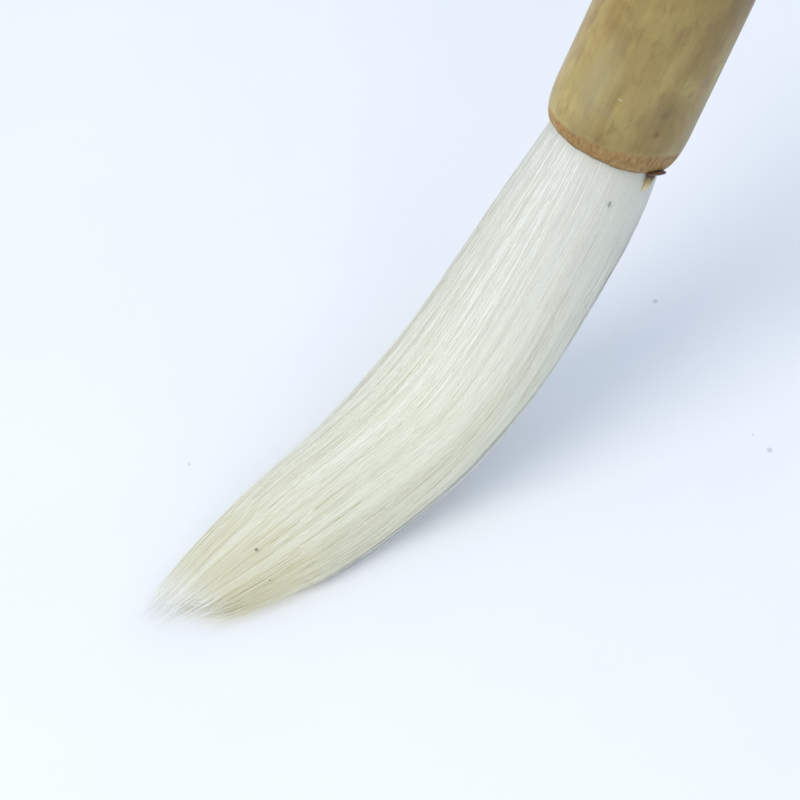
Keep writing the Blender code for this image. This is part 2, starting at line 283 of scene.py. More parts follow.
# ------------------------------------------------------------------ material helpers
class Graph:
    def __init__(self, name):
        self.material = bpy.data.materials.new(name)
        self.material.use_nodes = True
        self.tree = self.material.node_tree
        self.shader = self.tree.nodes["Principled BSDF"]

    def put(self, socket, value):
        if isinstance(value, bpy.types.NodeSocket):
            self.tree.links.new(value, socket)
        elif value is not None:
            socket.default_value = value

    def node(self, kind, settings=None, **inputs):
        made = self.tree.nodes.new(kind)
        for key, value in (settings or {}).items():
            setattr(made, key, value)
        for key, value in inputs.items():
            name = key.replace("_", " ")
            self.put(made.inputs[name], value)
        return made

    def math(self, operation, a, b=None, c=None, clamp=False):
        made = self.tree.nodes.new("ShaderNodeMath")
        made.operation = operation
        made.use_clamp = clamp
        for socket, value in zip(made.inputs, (a, b, c)):
            if value is not None:
                self.put(socket, value)
        return made.outputs[0]

    def mix(self, factor, a, b, blend="MIX"):
        made = self.tree.nodes.new("ShaderNodeMix")
        made.data_type = "RGBA"
        made.blend_type = blend
        made.clamp_factor = True
        self.put(made.inputs[0], factor)
        self.put(made.inputs[6], a if not isinstance(a, tuple) else (*a, 1.0))
        self.put(made.inputs[7], b if not isinstance(b, tuple) else (*b, 1.0))
        return made.outputs[2]

    def ramp(self, factor, stops, mode="LINEAR"):
        made = self.tree.nodes.new("ShaderNodeValToRGB")
        made.color_ramp.interpolation = mode
        elements = made.color_ramp.elements
        while len(elements) < len(stops):
            elements.new(0.5)
        for element, (place, colour) in zip(elements, stops):
            element.position = place
            if not isinstance(colour, tuple):
                colour = (colour, colour, colour)
            element.color = (*colour, 1.0)
        self.put(made.inputs[0], factor)
        return made.outputs[0]

    def span(self, value, low, high, to_low=0.0, to_high=1.0, smooth=True):
        made = self.tree.nodes.new("ShaderNodeMapRange")
        made.interpolation_type = "SMOOTHSTEP" if smooth else "LINEAR"
        self.put(made.inputs["Value"], value)
        made.inputs["From Min"].default_value = low
        made.inputs["From Max"].default_value = high
        made.inputs["To Min"].default_value = to_low
        made.inputs["To Max"].default_value = to_high
        return made.outputs[0]

    def noise(self, vector, scale, detail=3.0, rough=0.55, distortion=0.0):
        return self.node(
            "ShaderNodeTexNoise",
            Vector=vector,
            Scale=scale,
            Detail=detail,
            Roughness=rough,
            Distortion=distortion,
        ).outputs["Fac"]

    def stretch(self, vector, scale, location=(0, 0, 0)):
        return self.node(
            "ShaderNodeMapping", Vector=vector, Scale=scale, Location=location
        ).outputs[0]

    def own(self):
        """The piece's own coordinates, in mm."""
        coords = self.tree.nodes.new("ShaderNodeTexCoord")
        return self.stretch(coords.outputs["Object"], (1000, 1000, 1000))

    def split(self, vector):
        return self.node("ShaderNodeSeparateXYZ", Vector=vector).outputs

    def attribute(self, name, output="Fac"):
        return self.node("ShaderNodeAttribute", {"attribute_name": name}).outputs[output]

    def bump(self, height, strength, distance):
        made = self.node(
            "ShaderNodeBump", Height=height, Strength=strength, Distance=distance
        )
        self.put(self.shader.inputs["Normal"], made.outputs[0])

    def near(self, vector, place, radius, soft=0.5, squash=(1, 1, 1)):
        """1 at place, falling to 0 at radius, in mm."""
        shifted = self.node(
            "ShaderNodeVectorMath", {"operation": "SUBTRACT"}
        )
        self.put(shifted.inputs[0], vector)
        shifted.inputs[1].default_value = place
        scaled = self.node("ShaderNodeVectorMath", {"operation": "MULTIPLY"})
        self.put(scaled.inputs[0], shifted.outputs[0])
        scaled.inputs[1].default_value = squash
        length = self.node("ShaderNodeVectorMath", {"operation": "LENGTH"})
        self.put(length.inputs[0], scaled.outputs[0])
        return self.span(length.outputs["Value"], radius * (1 - soft), radius, 1.0, 0.0)

    def finish(self, **values):
        for key, value in values.items():
            name = key.replace("_", " ")
            socket = self.shader.inputs[name]
            if isinstance(value, tuple) and len(socket.default_value) == 4:
                value = (*value, 1.0)
            self.put(socket, value)
        return self.material


def wear(obj, material):
    obj.data.materials.clear()
    obj.data.materials.append(material)
    return obj


# ------------------------------------------------------------------ bamboo
HANDLE_LENGTH = 200.0
HANDLE_R, HANDLE_TAIL_R = 6.25, 6.05
SOCKET_R, SOCKET_DEPTH, BORE_R = 5.15, 17.2, 3.60
NOSE = 3.6
SKIN_EDGE = 1.62  # height above the mouth where the skin starts


def handle_profile():
    points = []
    for a in np.linspace(90, 0, 7):
        points.append((HANDLE_TAIL_R - 0.45 + 0.45 * math.cos(math.radians(a)), HANDLE_LENGTH - 0.45 + 0.45 * math.sin(math.radians(a))))
    heights = np.concatenate([np.linspace(198.5, 14, 84), np.linspace(12.5, NOSE + 0.35, 18)])
    for z in heights:
        points.append((HANDLE_R + (HANDLE_TAIL_R - HANDLE_R) * z / HANDLE_LENGTH, z))
    lip = SOCKET_R + 0.2
    for a in np.linspace(0, -90, 22):
        # a full, slightly square shoulder
        c, s = math.cos(math.radians(a)), math.sin(math.radians(a))
        points.append((lip + (HANDLE_R - lip) * c**0.92, NOSE + NOSE * -(abs(s) ** 0.96)))
    points += [(SOCKET_R + 0.06, 0.07), (SOCKET_R, 0.25), (SOCKET_R, 2.0), (SOCKET_R, 9.0), (SOCKET_R, SOCKET_DEPTH)]
    points += [(BORE_R, SOCKET_DEPTH + 1.2), (BORE_R, 60.0), (BORE_R, 120.0), (BORE_R, HANDLE_LENGTH)]
    return points


def handle_wobble(angle, r, z):
    outer = (r > SOCKET_R + 0.08).astype(float)
    uneven = (
        0.028 * np.sin(2 * angle + 0.6 + z / 90)
        + 0.016 * np.sin(3 * angle + 1.9 - z / 60)
        + 0.010 * np.sin(5 * angle + z / 23)
        + 0.012 * np.sin(z / 17 + 0.4)
    )
    fray = 0.05 * np.sin(7 * angle + 1.0) + 0.035 * np.sin(17 * angle) + 0.02 * np.sin(41 * angle + 2)
    near_lip = np.clip(1 - z / 2.5, 0, 1) * outer
    return r + outer * (uneven - 0.03), z + near_lip * fray * 0.6 + 0.03 * near_lip


handle = lathe("handle_culm", handle_profile(), 224, handle_wobble)
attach(handle, "handle")
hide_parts("bamboo_handle")


def bamboo_material():
    g = Graph("bamboo_skin")
    p = g.own()
    x, y, z = (g.split(p)[i] for i in range(3))
    warp = g.noise(g.stretch(p, (0.5, 0.5, 0.12)), 1.0, 2.0)
    streak = g.noise(g.stretch(p, (2.4, 2.4, 0.07)), 1.0, 5.0, 0.62)
    fibre = g.noise(g.stretch(p, (11.0, 11.0, 0.22)), 1.0, 3.0, 0.6)
    blotch = g.noise(g.stretch(p, (0.30, 0.30, 0.16)), 1.0, 4.0, 0.58, 0.7)
    blotch_small = g.noise(g.stretch(p, (0.9, 0.9, 0.5), (7.0, 3.0, 1.0)), 1.0, 4.0, 0.6, 0.4)
    skin = g.ramp(
        blotch,
        [
            (0.30, (0.222, 0.143, 0.035)),
            (0.44, (0.270, 0.187, 0.050)),
            (0.56, (0.309, 0.224, 0.066)),
            (0.70, (0.355, 0.267, 0.088)),
        ],
    )
    brown = g.span(blotch_small, 0.48, 0.72, 0.0, 0.50)
    skin = g.mix(brown, skin, (0.185, 0.105, 0.030))
    green = g.span(warp, 0.45, 0.75, 0.0, 0.20)
    skin = g.mix(green, skin, (0.268, 0.212, 0.070))
    tone = g.span(streak, 0.30, 0.72, 0.90, 1.08, smooth=False)
    fine = g.span(fibre, 0.3, 0.7, 0.95, 1.05, smooth=False)
    skin = g.mix(1.0, skin, g.node("ShaderNodeCombineColor", Red=g.math("MULTIPLY", tone, fine), Green=g.math("MULTIPLY", tone, fine), Blue=g.math("MULTIPLY", tone, fine)).outputs[0], "MULTIPLY")
    # stains and small marks, each at its own place on the skin
    for place, radius, squash, colour, amount in SPOTS:
        mask = g.math("MULTIPLY", g.near(p, place, radius, 0.85, squash), amount)
        ragged = g.math("MULTIPLY", mask, g.span(blotch_small, 0.25, 0.6, 0.55, 1.0))
        skin = g.mix(ragged, skin, colour)
    speckle = g.span(g.noise(g.stretch(p, (1.5, 1.5, 1.1)), 1.0, 2.0, 0.5), 0.735, 0.80, 0.0, 0.7)
    skin = g.mix(speckle, skin, (0.115, 0.062, 0.020))
    # bare fibrous wood where the mouth is rounded over
    radial = g.noise(g.stretch(p, (3.2, 3.2, 1.4)), 1.0, 4.0, 0.65)
    pores = g.noise(g.stretch(p, (7.5, 7.5, 2.4)), 1.0, 2.0, 0.6)
    wood = g.ramp(
        radial,
        [
            (0.28, (0.158, 0.078, 0.018)),
            (0.45, (0.270, 0.152, 0.040)),
            (0.60, (0.330, 0.196, 0.059)),
            (0.78, (0.395, 0.270, 0.108)),
        ],
    )
    wood = g.mix(g.span(pores, 0.58, 0.70, 0.0, 0.5), wood, (0.170, 0.085, 0.025))
    # the skin ends lower on one side, where the knife cut deeper on the other
    z = g.math("ADD", z, g.math("ADD", g.math("MULTIPLY", x, -0.055), g.math("MULTIPLY", y, 0.085)))
    edge = g.math("ADD", z, g.span(g.noise(g.stretch(p, (0.9, 0.9, 0.9)), 1.0, 3.0), 0.2, 0.8, -0.16, 0.16, smooth=False))
    is_skin = g.span(edge, SKIN_EDGE - 0.20, SKIN_EDGE + 0.25)
    colour = g.mix(is_skin, wood, skin)
    lip = g.span(g.split(p)[2], 0.02, 0.40, 0.72, 0.0)
    colour = g.mix(lip, colour, (0.110, 0.058, 0.022))
    # pale rubbed line at the skin's edge, and the sawn tail end
    rim = g.math("MULTIPLY", g.span(edge, SKIN_EDGE - 0.05, SKIN_EDGE + 0.15), g.span(edge, SKIN_EDGE + 0.15, SKIN_EDGE + 0.5, 1.0, 0.0))
    colour = g.mix(g.math("MULTIPLY", rim, 0.10), colour, (0.45, 0.37, 0.20))
    # painted highlight: the side towards the window is painted paler, standing in for the sheen the light puts on that
    # side; higher up the skin is darker and browner
    window_side_sheen = g.math("DIVIDE", g.math("ADD", g.math("MULTIPLY", x, math.cos(math.radians(130))), g.math("MULTIPLY", y, math.sin(math.radians(130)))), HANDLE_R)
    window_side_sheen = g.span(window_side_sheen, 0.50, 1.0, 1.0, 1.42)
    higher_up = g.span(z, 10.5, 18.0)
    shade = [g.math("MULTIPLY", window_side_sheen, g.math("MULTIPLY_ADD", higher_up, -amount, 1.0)) for amount in (0.19, 0.24, 0.41)]
    colour = g.mix(1.0, colour, g.node("ShaderNodeCombineColor", Red=shade[0], Green=shade[1], Blue=shade[2]).outputs[0], "MULTIPLY")
    tail = g.span(z, HANDLE_LENGTH - 0.5, HANDLE_LENGTH - 0.25)
    colour = g.mix(tail, colour, wood)
    height = g.math("ADD", g.math("MULTIPLY", streak, 0.5), g.math("MULTIPLY", fibre, 0.5))
    height = g.mix(is_skin, g.math("MULTIPLY", pores, 2.4), height)
    g.bump(height, 0.55, 0.00005)
    rough = g.mix(is_skin, (0.62, 0.62, 0.62), (0.36, 0.36, 0.36))
    rough = g.math("ADD", rough, g.span(streak, 0.3, 0.7, -0.05, 0.07))
    return g.finish(Base_Color=colour, Roughness=rough, Specular_IOR_Level=0.55)


# Places on the skin in the handle's own frame, mm: place, radius, squash, colour, amount.
def on_skin(angle, height, r=HANDLE_R):
    return (r * math.cos(math.radians(angle)), r * math.sin(math.radians(angle)), height)


SPOTS = [
    (on_skin(-117, 6.0), 1.7, (1, 1, 0.55), (0.165, 0.105, 0.036), 0.60),
    (on_skin(-114.5, 4.3), 0.42, (1, 1, 1), (0.130, 0.060, 0.020), 0.85),
    (on_skin(-116, 6.1), 0.55, (1, 1, 1), (0.150, 0.085, 0.030), 0.45),
    (on_skin(-136, 7.0), 2.2, (1, 1, 0.6), (0.300, 0.200, 0.066), 0.40),
    (on_skin(-153, 6.2), 0.34, (1, 1, 1.9), (0.480, 0.430, 0.250), 0.65),
    (on_skin(-158, 4.6), 1.0, (1, 1, 1.2), (0.250, 0.170, 0.100), 0.40),
    (on_skin(-176, 6.0), 2.6, (1, 1, 0.4), (0.400, 0.330, 0.170), 0.50),
    (on_skin(-88, 9.5), 1.4, (1, 1, 0.6), (0.190, 0.115, 0.045), 0.55),
    (on_skin(-78, 5.5), 1.6, (1, 1, 0.4), (0.240, 0.165, 0.080), 0.55),
]
wear(handle, bamboo_material())


# ------------------------------------------------------------------ tail plug
def plug_profile():
    low = HANDLE_LENGTH + 0.12
    high = low + 8.0
    r, waist, hole = 5.95, 5.70, 1.0
    points = []
    for a in np.linspace(90, 0, 14):
        points.append((r - 1.1 + 1.1 * math.cos(math.radians(a)), high - 1.1 + 1.1 * math.sin(math.radians(a))))
    for z in np.linspace(high - 1.6, low + 2.65, 8):
        points.append((r, z))
    for a in np.linspace(0, 1, 11):
        points.append((r - (r - waist) * math.sin(math.pi * a) ** 1.4, low + 2.6 - 1.2 * a))
    points += [(r, low + 1.1), (r, low + 0.5), (r - 0.03, low + 0.12), (r - 0.14, low)]
    points += [(3.6, low), (3.45, low), (3.45, low - 0.2), (3.45, low - 6), (3.45, low - 11.5), (3.05, low - 12), (hole, low - 12)]
    points += [(hole, low - 6), (hole, high - 0.45)]
    for a in np.linspace(180, 90, 7):
        points.append((hole + 0.4 + 0.4 * math.cos(math.radians(a)), high - 0.4 + 0.4 * math.sin(math.radians(a))))
    return points


plug = lathe("plug_turned", plug_profile(), 160)
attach(plug, "handle")
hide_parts("tail_plug")


def horn_material():
    g = Graph("dark_horn")
    p = g.own()
    layers = g.noise(g.stretch(p, (0.55, 0.9, 0.10)), 1.0, 5.0, 0.6, 1.2)
    wisps = g.noise(g.stretch(p, (2.6, 3.4, 0.22)), 1.0, 3.0, 0.55, 0.6)
    colour = g.ramp(
        layers,
        [
            (0.36, (0.012, 0.008, 0.006)),
            (0.52, (0.032, 0.018, 0.011)),
            (0.63, (0.085, 0.045, 0.021)),
            (0.74, (0.190, 0.115, 0.055)),
        ],
    )
    colour = g.mix(g.span(wisps, 0.56, 0.74, 0.0, 0.45), colour, (0.130, 0.082, 0.045))
    scratch = g.noise(g.stretch(p, (0.4, 0.4, 9.0)), 1.0, 2.0, 0.5)
    g.bump(g.math("ADD", scratch, g.math("MULTIPLY", wisps, 0.4)), 0.25, 0.00003)
    rough = g.span(scratch, 0.3, 0.7, 0.20, 0.34)
    return g.finish(Base_Color=colour, Roughness=rough, Coat_Weight=0.25, Coat_Roughness=0.12)


wear(plug, horn_material())

# ------------------------------------------------------------------ inside the socket
def glue_material(name, dark, light, rough):
    g = Graph(name)
    p = g.own()
    cloud = g.noise(p, 1.1, 4.0, 0.6, 0.4)
    grain = g.noise(p, 5.0, 3.0, 0.6)
    colour = g.ramp(cloud, [(0.30, dark), (0.70, light)])
    colour = g.mix(g.span(grain, 0.62, 0.76, 0.0, 0.5), colour, tuple(v * 0.35 for v in dark))
    g.bump(g.math("ADD", cloud, g.math("MULTIPLY", grain, 0.4)), 0.5, 0.00008)
    return g.finish(Base_Color=colour, Roughness=g.span(grain, 0.3, 0.7, rough, rough + 0.18))


sleeve = lathe(
    "glue_sleeve",
    [(4.87, 9.28), (4.93, 9.30), (5.02, 9.24), (5.04, 9.1), (5.04, 6.4), (5.03, 3.6), (5.04, 1.2), (5.0, 1.02), (4.92, 1.0), (4.87, 1.08), (4.86, 1.3), (4.86, 3.6), (4.87, 6.4), (4.86, 9.1)],
    128,
    lambda a, r, z: (r, z + np.where(z > 8, 0.10 * np.sin(5 * a) - 0.14, 0) - np.where(z < 2, 0.04 * np.sin(7 * a + 1) - 0.05, 0)),
)
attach(sleeve, "handle")
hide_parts("socket_glue")
wear(sleeve, glue_material("dried_glue", (0.30, 0.15, 0.035), (0.52, 0.33, 0.11), 0.22))

rosin_profile = [(0.001, 16.58), (0.9, 16.60), (2.0, 16.58), (3.1, 16.50)]
rosin_profile += [(4.0 + 0.58 * math.cos(math.radians(a)), 15.85 + 0.62 * math.sin(math.radians(a))) for a in np.linspace(80, -10, 9)]
rosin_profile += [(4.58, 15.35), (4.50, 15.22), (3.0, 15.2), (0.001, 15.2)]
rosin = lathe("rosin_puddle", rosin_profile, 120, lambda a, r, z: (r, z + np.where(z > 15.6, (0.05 * np.sin(3 * a + 1) + 0.03 * np.sin(5 * a)) * np.clip(r / 4, 0, 1) - 0.06, 0)))
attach(rosin, "handle")
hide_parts("rosin_seal")
wear(rosin, glue_material("pine_rosin", (0.22, 0.07, 0.014), (0.46, 0.20, 0.05), 0.10))


def thread_piece():
    """The binding: two plies twisted together and wound six times round the hair."""
    turns, pitch, low, coil_r = 6.0, 0.60, 10.2, 4.60
    count = int(turns * 64) + 1
    t = np.linspace(0, turns, count)
    a = 2 * math.pi * t
    centre = np.stack([coil_r * np.cos(a), coil_r * np.sin(a), low + pitch * t], -1)
    out = np.stack([np.cos(a), np.sin(a), 0 * a], -1)
    side = np.array([0.0, 0.0, 1.0])
    paths = []
    for ply in (0.0, math.pi):
        twist = 2 * math.pi * t * 22 + ply
        paths.append(centre + 0.095 * (np.cos(twist)[:, None] * out + np.sin(twist)[:, None] * side))
    paths = np.array(paths)
    radii = np.full(paths.shape[:2], 0.118)
    verts, quads, caps, _ = tubes(paths, radii, np.broadcast_to(out, paths.shape), 8)
    obj = mesh_object("binding_two_ply", verts.reshape(-1, 3) * MM, [quads, caps], local=True)
    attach(obj, "handle")
    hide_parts("binding_thread")
    g = Graph("waxed_thread")
    p = g.own()
    fuzz = g.noise(p, 14.0, 3.0, 0.6)
    soil = g.noise(p, 0.8, 3.0, 0.6)
    colour = g.mix(g.span(soil, 0.35, 0.7, 0.0, 0.7), (0.60, 0.54, 0.41), (0.38, 0.29, 0.16))
    colour = g.mix(g.span(fuzz, 0.4, 0.8, 0.0, 0.4), colour, (0.72, 0.68, 0.58))
    g.bump(fuzz, 0.6, 0.00004)
    wear(obj, g.finish(Base_Color=colour, Roughness=0.72, Sheen_Weight=0.3, Sheen_Roughness=0.5))


thread_piece()


# ------------------------------------------------------------------ glue drip
def drip_piece():
    """Dried glue that ran out under the lip: a thick clot against the wood that thins
    to a point drawn down over the hair."""
    nu, nv = 64, 40
    angle = math.radians(-90.0)
    u = np.linspace(0, 1, nu)  # from the lip down
    v = np.linspace(0, 2 * math.pi, nv, endpoint=False)
    drop = 0.50 - 2.25 * u
    swing = angle - 0.05 * u**1.5
    width = 0.82 * (1 - u) ** 2.3 + 0.24 * (1 - u) ** 0.6 + 0.03
    width *= 1 + 0.08 * np.sin(9 * u + 1)
    depth = 0.34 * (1 - u) ** 0.8 + 0.05
    width[0], depth[0] = 0.5, 0.12
    width[1] = width[1] * 0.85
    s = -drop
    verts = []
    for i in range(nu):
        for k in range(nv):
            along_side = width[i] * math.sin(v[k])
            outward = depth[i] * math.cos(v[k])
            phi_handle = swing[i] + along_side / 5.4
            local = np.array([math.cos(phi_handle), math.sin(phi_handle), 0.0])
            base = 5.16 + 0.40 * min(max(s[i], 0.0) / 2.5, 1.0)
            base += 0.9 * math.sqrt(1 - (1 - max(drop[i], 0.0) / NOSE) ** 2)
            lump = 0.04 * math.sin(5 * v[k] + 6 * u[i]) + 0.03 * math.sin(11 * u[i] + 2 * v[k])
            r = base + depth[i] * 0.75 + outward + lump * (outward > 0)
            verts.append((r * local[0], r * local[1], drop[i] + 0.10 * math.cos(3 * along_side) * (1 - u[i])))
    verts = np.array(verts)
    index = np.arange(nu * nv).reshape(nu, nv)
    a, b = index[:-1], index[1:]
    quads = np.stack([a, np.roll(a, -1, 1), np.roll(b, -1, 1), b], -1).reshape(-1, 4)
    top, tip = len(verts), len(verts) + 1
    verts = np.concatenate([verts, [verts[:nv].mean(0)], [verts[-nv:].mean(0)]])
    fan = np.concatenate(
        [
            np.stack([np.roll(index[0], -1), index[0], np.full(nv, top)], -1),
            np.stack([index[-1], np.roll(index[-1], -1), np.full(nv, tip)], -1),
        ]
    )
    obj = mesh_object("glue_run", verts * MM, [quads, fan], local=True)
    point_attribute(obj, "thin", np.concatenate([np.repeat(u, nv), [0.0, 1.0]]))
    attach(obj, "handle")
    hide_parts("glue_drip")
    g = Graph("amber_glue")
    p = g.own()
    thin = g.attribute("thin")
    cloud = g.noise(p, 2.2, 3.0, 0.6, 0.5)
    dark = g.mix(g.span(cloud, 0.35, 0.68), (0.045, 0.022, 0.010), (0.130, 0.058, 0.018))
    colour = g.mix(g.span(g.math("ADD", thin, g.math("MULTIPLY", cloud, 0.2)), 0.38, 0.98), dark, (0.62, 0.50, 0.22))
    g.bump(cloud, 0.4, 0.00006)
    wear(obj, g.finish(Base_Color=colour, Roughness=g.span(cloud, 0.3, 0.7, 0.42, 0.58), Specular_IOR_Level=0.35, Subsurface_Weight=0.25, Subsurface_Radius=(0.6, 0.3, 0.1), Subsurface_Scale=0.0005))


drip_piece()

# ------------------------------------------------------------------ hair
PARTINGS = [
    # angle round the tuft (radians), from, to (mm along), half width (radians)
    (-1.02, 24.0, 47.0, 0.055),
    (-0.72, 30.0, 50.0, 0.050),
    (-1.32, 18.0, 40.0, 0.040),
    (-0.38, 34.0, 53.0, 0.050),
    (0.10, 36.0, 54.0, 0.040),
    (0.55, 30.0, 52.0, 0.045),
    (-0.15, 14.0, 34.0, 0.030),
    (1.05, 38.0, 55.0, 0.050),
    (2.4, 20.0, 45.0, 0.050),
    (-2.3, 25.0, 50.0, 0.050),
]


def part_hair(phi, s):
    """Strands either side of a parting are pushed away from it."""
    for centre, start, end, width in PARTINGS:
        t = np.clip((s - start) / (end - start), 0, 1)
        strength = np.sin(math.pi * t) ** 1.2
        d = (phi - centre + math.pi) % (2 * math.pi) - math.pi
        push = 0.38 * width * strength * np.exp(-((d / (3.0 * width)) ** 2))
        phi = phi + np.where(d >= 0, push, -push)
    return phi


LOCKS = 34
lock_angle = np.sort((np.linspace(0, 2 * math.pi, LOCKS, endpoint=False) + rng.normal(0, 0.06, LOCKS)) % (2 * math.pi))
lock_lift = rng.normal(0, 0.05, LOCKS)
lock_tone = rng.normal(0, 0.08, LOCKS)
# the tip is longest on the side away from the viewer and cut back on the near side
side_of = np.sin(lock_angle)
lock_length = 55.7 + rng.normal(0, 0.9, LOCKS) + 2.0 * side_of - 0.9 * np.clip(-side_of, 0, 1) ** 2


def strand_paths(count, k, root, depth_low, depth_high, drift, wave, wide, early, lift=0.0, seed_tone=None, gather=1.0, fade=(1.2, 2.0)):
    """Strand paths in mm with their radii, normals and colour values."""
    phi0 = rng.uniform(0, 2 * math.pi, count)
    lock = np.argmin(np.abs((phi0[:, None] - lock_angle[None] + math.pi) % (2 * math.pi) - math.pi), 1)
    towards = (lock_angle[lock] - phi0 + math.pi) % (2 * math.pi) - math.pi
    # fewer and fewer hairs reach the tip, so it fades into single wisps
    end = lock_length[lock] + 1.0 + rng.normal(0, 0.9, count) - rng.gamma(fade[0], fade[1], count)
    short = rng.random(count) < early
    end = np.where(short, rng.uniform(36, 54, count), end)
    end = np.minimum(end, lock_length[lock] + 2.6)
    t = np.linspace(0, 1, k)[None]
    s = root + (end[:, None] - root) * t
    pull = gather * 0.26 * np.clip((s - 24.0) / 36.0, 0, 1) ** 1.6
    phi = phi0[:, None] + towards[:, None] * pull
    phi = phi + (rng.normal(0, drift, count)[:, None]) * (s / 58.0) * (s > 0)
    for _ in range(2):
        length = rng.uniform(18, 48, count)[:, None]
        phase = rng.uniform(0, 2 * math.pi, count)[:, None]
        size = (rng.gamma(2.0, wave / 2, count))[:, None]
        phi = phi + size * np.sin(2 * math.pi * s / length + phase) * np.clip(s / 12.0, 0, 1)
    phi = part_hair(phi, s)
    depth = rng.uniform(depth_low, depth_high, count)[:, None]
    out = ridge(phi, s) - depth * np.clip(0.25 + s / 10.0, 0.0, 1.0)
    out = out + lock_lift[lock][:, None] * np.clip(s / 30, 0, 1)
    if lift:
        peak = rng.uniform(0.25, 1.0, count)[:, None]
        out = out + lift * rng.random(count)[:, None] * np.clip(s / 58.0, 0, 1) * np.sin(math.pi * np.clip(t * peak, 0, 1)) ** 2
    # strands that end under the surface sink as they thin out
    out = out - 0.10 * np.clip((t - 0.8) / 0.2, 0, 1) * short[:, None]
    # towards the tip the strands fill the whole section, not only its skin
    inner = rng.random(count)[:, None] ** 0.5
    share = 1.0 - (1.0 - inner) * 0.95 * np.clip((s - 46.0) / 9.0, 0, 1)
    p, normal = tuft_point(phi, s, out * (0.3 + 0.7 * share), share)
    open_tip = np.clip((s - 43.0) / 7.0, 0, 1)[..., None]
    low = np.clip(-np.cos(phi), 0, 1)[..., None] * open_tip
    normal = normal * (1 - 0.999 * low) + low * (np.array([0.0, 0.0, 1.0]) + 0.35 * np.sin(phi)[..., None] * SIDE)
    normal = normal + (0.15 + 0.5 * open_tip) * np.array([0.0, 0.0, 1.0])
    normal /= np.linalg.norm(normal, axis=-1, keepdims=True)
    radius = wide[0] + (wide[1] - wide[0]) * rng.random(count)[:, None]
    taper = 1.0 - 0.90 * np.clip((t - 0.70) / 0.30, 0, 1) ** 1.25
    start = 0.75 + 0.25 * np.clip(t / 0.05, 0, 1)
    radii = radius * taper * start * np.ones_like(s)
    # painted shade: the hair on the near side, away from the window, gets a lower tone, which makes it darker and
    # yellower
    painted_shade_side = np.exp(-(((phi0 - 2 * math.pi + 1.20) / 0.70) ** 2))
    if seed_tone is None:
        tone = rng.beta(1.6, 1.6, count) + lock_tone[lock] - 0.34 * painted_shade_side
    else:
        tone = seed_tone(count) - 0.22 * painted_shade_side
    # a hair under the tip is seen from above and from below, so it is shaded as round
    rounded = np.clip(-2.5 * np.cos(phi), 0, 1) * np.clip((s - 41.0) / 4.0, 0, 1)
    return p, radii, normal, s / 58.0, np.clip(tone, 0, 1), t + 0 * s, rounded


def keep_off_floor(p, clearance=0.02):
    """Hair spreads on the table instead of going through it."""
    floor = (FLOOR_Z - MOUTH[2]) / MM + clearance
    z = p[..., 2]
    soft = 0.30
    low = floor + soft * np.exp(np.clip((z - floor) / soft - 1.0, -30, 0.0))
    p[..., 2] = np.where(z < floor + soft, low, z)
    return p


def hair_piece(name, count, k, material, slot_name, **how):
    p, radii, normal, along, tone, tip, rounded = strand_paths(count, k, **how)
    p = keep_off_floor(p)
    order = np.argsort(tone)
    p, radii, normal, along, tone, tip, rounded = (v[order] for v in (p, radii, normal, along, tone, tip, rounded))
    verts, quads, caps, outward = tubes(p, radii, normal, 3, 0.42, rounded)
    world = verts.reshape(-1, 3) * MM + MOUTH
    obj = mesh_object(name, world, [quads, caps])
    obj.data.normals_split_custom_set_from_vertices(outward.reshape(-1, 3))
    point_attribute(obj, "along", np.repeat(along.ravel(), 3))
    point_attribute(obj, "tip", np.repeat(tip.ravel(), 3))
    point_attribute(obj, "tone", np.repeat(np.repeat(tone, k), 3))
    # texture space: strands side by side in order of tone, root to tip upwards
    loops = np.zeros(len(obj.data.loops), np.int32)
    obj.data.loops.foreach_get("vertex_index", loops)
    strand = loops // (3 * k)
    u = (strand + 0.2 + 0.3 * (loops % 3)) / count
    v = np.clip((along.ravel()[loops // 3] * 58.0 + 4.0) / 68.0, 0.001, 0.999)
    loop_uv(obj, "OFBake", np.stack([u, v], -1))
    wear(obj, material)
    return obj


def hair_material(name, warmth=0.0, dark=1.0):
    g = Graph(name)
    along, tone, tip = g.attribute("along"), g.attribute("tone"), g.attribute("tip")
    colour = g.ramp(
        along,
        [
            (0.00, (0.600, 0.595, 0.525)),
            (0.22, (0.650, 0.648, 0.560)),
            (0.45, (0.688, 0.688, 0.560)),
            (0.64, (0.712, 0.704, 0.560)),
            (0.80, (0.725, 0.704, 0.530)),
            (0.90, (0.740, 0.722, 0.550)),
            (0.99, (0.800, 0.790, 0.660)),
        ],
    )
    # a low tone mixes in darker cream: the tone varies at random, and on the near side its drop is also painted shade
    cream = g.span(tone, 0.0, 0.45, 0.58 + warmth, warmth)
    colour = g.mix(g.math("MULTIPLY", cream, g.span(along, 0.0, 0.70, 0.5, 1.0)), colour, (0.560, 0.500, 0.300))
    bright = g.span(tone, 0.60, 1.0, 0.0, 0.90)
    colour = g.mix(bright, colour, (0.880, 0.880, 0.790))
    # the last length of each hair is paler and fine; this whitening is partly painted light, for the light that shines
    # through the thin ends
    colour = g.mix(g.math("MULTIPLY", g.span(tip, 0.89, 1.0), g.span(along, 0.91, 0.99)), colour, (0.900, 0.925, 0.905))
    # cuticle: faint mottling along each hair
    cells = g.node("ShaderNodeCombineXYZ", X=g.math("MULTIPLY", tone, 900.0), Y=g.math("MULTIPLY", along, 26.0), Z=0.0).outputs[0]
    mottle = g.noise(cells, 1.0, 2.0, 0.5)
    shade = g.span(mottle, 0.25, 0.75, 0.965 * dark, 1.02 * dark, smooth=False)
    colour = g.mix(1.0, colour, g.node("ShaderNodeCombineColor", Red=shade, Green=shade, Blue=shade).outputs[0], "MULTIPLY")
    return g.finish(Base_Color=colour, Roughness=0.50, Specular_IOR_Level=0.30, Sheen_Weight=0.35, Sheen_Roughness=0.45, Sheen_Tint=(1.0, 0.99, 0.96))


hair_mat = hair_material("goat_hair")
hair_under_mat = hair_material("goat_hair_under", warmth=0.12, dark=0.98)


